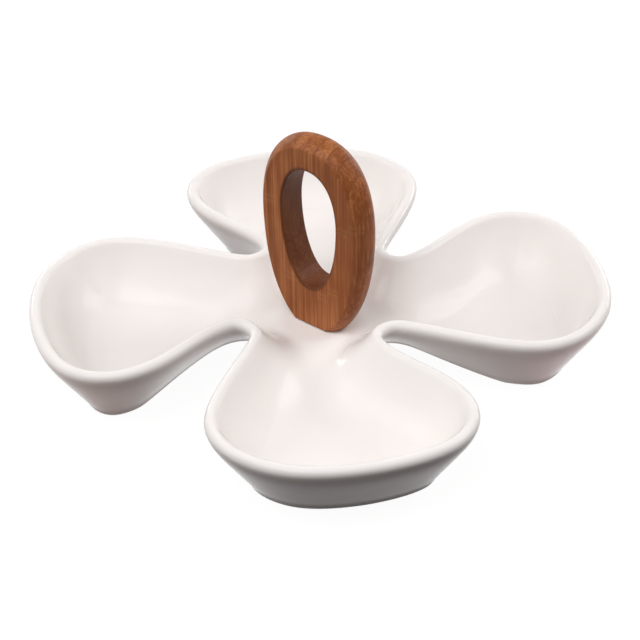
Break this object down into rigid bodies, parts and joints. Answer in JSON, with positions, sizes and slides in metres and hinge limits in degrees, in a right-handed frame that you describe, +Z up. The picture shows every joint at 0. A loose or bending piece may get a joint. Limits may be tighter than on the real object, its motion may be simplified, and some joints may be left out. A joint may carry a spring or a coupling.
{
  "type": "divided serving bowl",
  "caption": "Divided serving dish of petal-shaped glazed bowls around a low hub, with an upright bamboo ring handle bolted through the hub from below.",
  "frame": {"origin": "on the hub's axis at the table", "axes": "+Z up; the bowls point along +X, +Y, -X and -Y; the handle's board stands across the +X +Y diagonal"},
  "size_m": [0.3104, 0.3104, 0.1333],
  "materials": {
    "porcelain": "gloss",
    "bamboo": "satin",
    "silicone": "matte",
    "brass": "satin",
    "screw_steel": "satin",
    "washer_steel": "satin",
    "black_rubber": "matte"
  },
  "bodies": {
    "root": {"petal_dish": "porcelain", "bamboo_handle": "bamboo", "hub_pad": "silicone", "threaded_insert": "brass", "handle_screw": "screw_steel", "steel_washer": "washer_steel", "rubber_washer": "black_rubber"}
  },
  "joints": []
}
